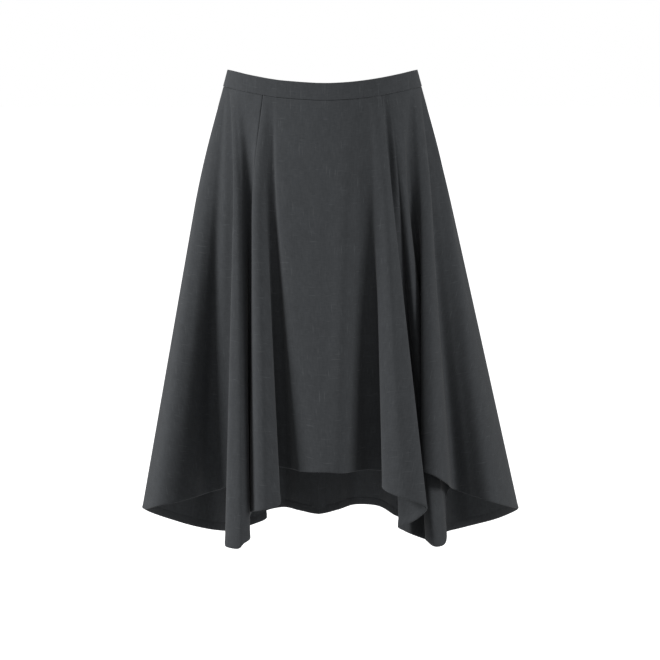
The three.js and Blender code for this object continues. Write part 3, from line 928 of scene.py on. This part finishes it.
# The camera: metres from the skirt, aside and away, degrees down, and millimetres of lens
CAMERA_AWAY = 3.0
CAMERA_ASIDE = 0.010
CAMERA_PITCH = 6.63
CAMERA_LENS = 122.3


def add_floor(scene):
    """A pale glowing floor that only the camera sees."""
    mesh = bpy.data.meshes.new("floor")
    floor = bpy.data.objects.new("floor", mesh)
    scene.collection.objects.link(floor)
    bm = bmesh.new()
    bmesh.ops.create_circle(bm, cap_ends=True, segments=FLOOR_SIDES, radius=FLOOR_RADIUS)
    bmesh.ops.translate(bm, vec=(0, 0, FLOOR_HEIGHT), verts=bm.verts)
    bm.to_mesh(mesh)
    bm.free()
    material, _, shader = new_material("pale floor")
    shader.inputs["Base Color"].default_value = (0.93, 0.93, 0.93, 1)
    shader.inputs["Roughness"].default_value = 0.9
    shader.inputs["Emission Color"].default_value = (1, 1, 1, 1)
    shader.inputs["Emission Strength"].default_value = FLOOR_GLOW
    mesh.materials.append(material)
    floor.visible_diffuse = False
    floor.visible_glossy = False


def add_light(scene, row):
    """A soft square light aimed at the skirt."""
    data = bpy.data.lights.new(row.name, "AREA")
    data.size = row.size
    data.energy = row.watts
    light = bpy.data.objects.new(row.name, data)
    light.location = row.place
    light.rotation_mode = "QUATERNION"
    light.rotation_quaternion = (Vector(LIT_PLACE) - Vector(row.place)).to_track_quat("-Z", "Y")
    scene.collection.objects.link(light)


def add_backdrop(scene):
    """A backdrop that is white to the camera and dim to the skirt."""
    world = bpy.data.worlds.new("studio")
    scene.world = world
    world.use_nodes = True
    tree = world.node_tree
    sky = tree.nodes["Background"]
    sky.inputs["Color"].default_value = (1, 1, 1, 1)
    path = tree.nodes.new("ShaderNodeLightPath")
    seen = math_node(tree, "MULTIPLY", path.outputs["Is Camera Ray"], 1 - ROOM_LIGHT)
    link(tree, math_node(tree, "ADD", seen, ROOM_LIGHT), sky.inputs["Strength"])


def add_camera(scene):
    """The camera, in front of the skirt and looking slightly down."""
    data = bpy.data.cameras.new("camera")
    data.lens = CAMERA_LENS
    camera = bpy.data.objects.new("camera", data)
    camera.location = (CAMERA_ASIDE, -CAMERA_AWAY, 0)
    camera.rotation_euler = (math.radians(90 - CAMERA_PITCH), 0, 0)
    scene.collection.objects.link(camera)
    scene.camera = camera


class SKIRT_OT_stage(bpy.types.Operator):
    """Set the pale floor, the soft lights and the camera"""

    bl_idname = "skirt.stage"
    bl_label = "Set stage"

    def execute(self, context):
        scene = context.scene
        add_floor(scene)
        for row in LIGHTS:
            add_light(scene, row)
        add_backdrop(scene)
        add_camera(scene)
        scene.view_settings.view_transform = "Standard"
        return {"FINISHED"}


class SKIRT_PT_sidebar(bpy.types.Panel):
    """Sizes, colours and steps of the skirt"""

    bl_label = "Asymmetric Skirt"
    bl_idname = "SKIRT_PT_sidebar"
    bl_space_type = "VIEW_3D"
    bl_region_type = "UI"
    bl_category = "Skirt"

    def draw(self, context):
        layout = self.layout
        for group in (context.scene.skirt_sizes, context.scene.skirt_looks):
            for name in group.bl_rna.properties.keys():
                if name not in ("rna_type", "name"):
                    layout.prop(group, name)
        for step in STEPS:
            layout.operator(step.bl_idname)


STEPS = (
    SKIRT_OT_panels,
    SKIRT_OT_waistband,
    SKIRT_OT_seams,
    SKIRT_OT_zip,
    SKIRT_OT_finishes,
    SKIRT_OT_stage,
)
CLASSES = (SkirtSizes, SkirtLooks, *STEPS, SKIRT_PT_sidebar)


def register():
    """Register the classes and hang the settings on the scene."""
    for item in CLASSES:
        bpy.utils.register_class(item)
    bpy.types.Scene.skirt_sizes = PointerProperty(type=SkirtSizes)
    bpy.types.Scene.skirt_looks = PointerProperty(type=SkirtLooks)


def unregister():
    """Take the settings and the classes away."""
    del bpy.types.Scene.skirt_looks
    del bpy.types.Scene.skirt_sizes
    for item in reversed(CLASSES):
        bpy.utils.unregister_class(item)


def main():
    """Make the skirt and its stage."""
    register()
    bpy.ops.skirt.panels()
    bpy.ops.skirt.waistband()
    bpy.ops.skirt.seams()
    bpy.ops.skirt.zip()
    bpy.ops.skirt.finishes()
    bpy.ops.skirt.stage()


if __name__ == "__main__":
    main()
